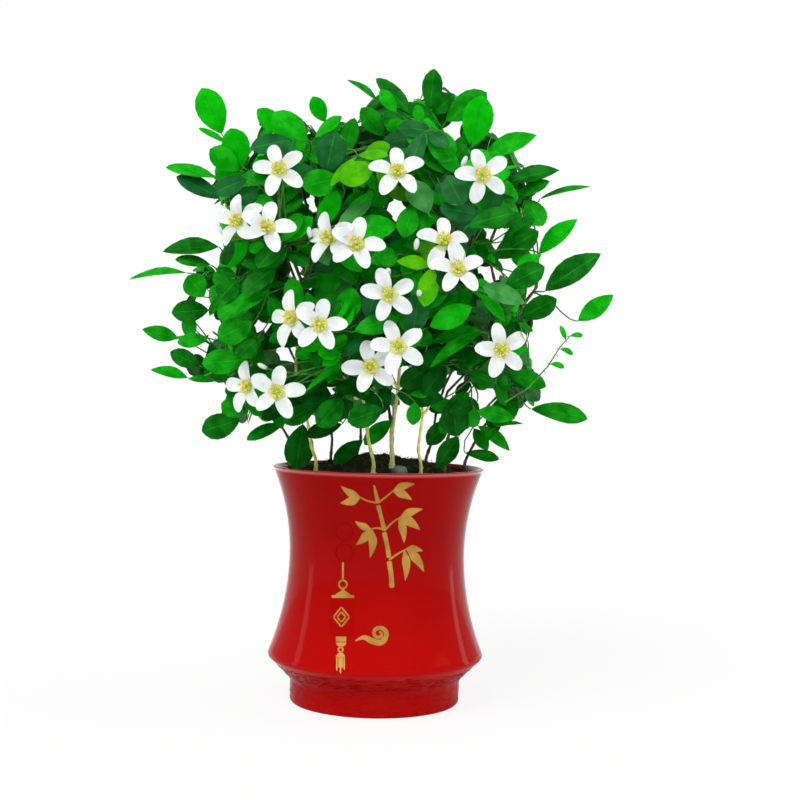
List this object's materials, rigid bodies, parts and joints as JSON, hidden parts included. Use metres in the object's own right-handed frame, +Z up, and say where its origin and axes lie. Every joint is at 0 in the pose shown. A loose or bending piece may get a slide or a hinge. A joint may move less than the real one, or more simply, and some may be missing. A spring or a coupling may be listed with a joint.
{
  "type": "potted orange jasmine shrub",
  "caption": "Dense evergreen shrub with glossy compound leaves and white five-petalled blooms, growing as a clump of thin stems in a waisted red glazed ceramic pot.",
  "frame": {"origin": "centre of the pot's flat underside", "axes": "+Z up along the pot's axis, -Y towards the decorated front, +X to the right of someone who looks at the front"},
  "size_m": [0.3803, 0.3452, 0.4869],
  "materials": {
    "red_glaze": "glossy deep red glaze with thin gold ornament",
    "potting_soil": "matt, dark and crumbly",
    "bark": "pale smooth young bark",
    "foliage": "glossy mid green leaves with white blooms"
  },
  "bodies": {
    "root": {"bough_01_leader": "bark", "bough_01_side": "bark", "bough_02_leader": "bark", "bough_02_side": "bark", "bough_03_leader": "bark", "bough_03_side": "bark", "bough_04_leader": "bark", "bough_04_side": "bark", "bough_05_leader": "bark", "bough_05_side": "bark", "bough_06_leader": "bark", "bough_06_side": "bark", "bough_07_leader": "bark", "bough_07_side": "bark", "bough_08_leader": "bark", "bough_08_side": "bark", "bough_09_leader": "bark", "bough_09_side": "bark", "bough_10_leader": "bark", "bough_10_side": "bark", "bough_11_leader": "bark", "bough_11_side": "bark", "foliage_heart_01": "foliage", "foliage_high_01": "foliage", "foliage_high_02": "foliage", "foliage_high_03": "foliage", "foliage_high_04": "foliage", "foliage_high_05": "foliage", "foliage_low_01": "foliage", "foliage_low_02": "foliage", "foliage_low_03": "foliage", "foliage_low_04": "foliage", "foliage_low_05": "foliage", "foliage_low_06": "foliage", "foliage_low_07": "foliage", "foliage_middle_01": "foliage", "foliage_middle_02": "foliage", "foliage_middle_03": "foliage", "foliage_middle_04": "foliage", "foliage_middle_05": "foliage", "foliage_middle_06": "foliage", "foliage_middle_07": "foliage", "foliage_top_01": "foliage", "foliage_top_02": "foliage", "pot": "red_glaze", "soil": "potting_soil", "stem_01": "bark", "stem_02": "bark", "stem_03": "bark", "stem_04": "bark", "stem_05": "bark", "stem_06": "bark", "stem_07": "bark", "stem_08": "bark", "stem_09": "bark", "stem_10": "bark", "stem_11": "bark"}
  },
  "joints": []
}
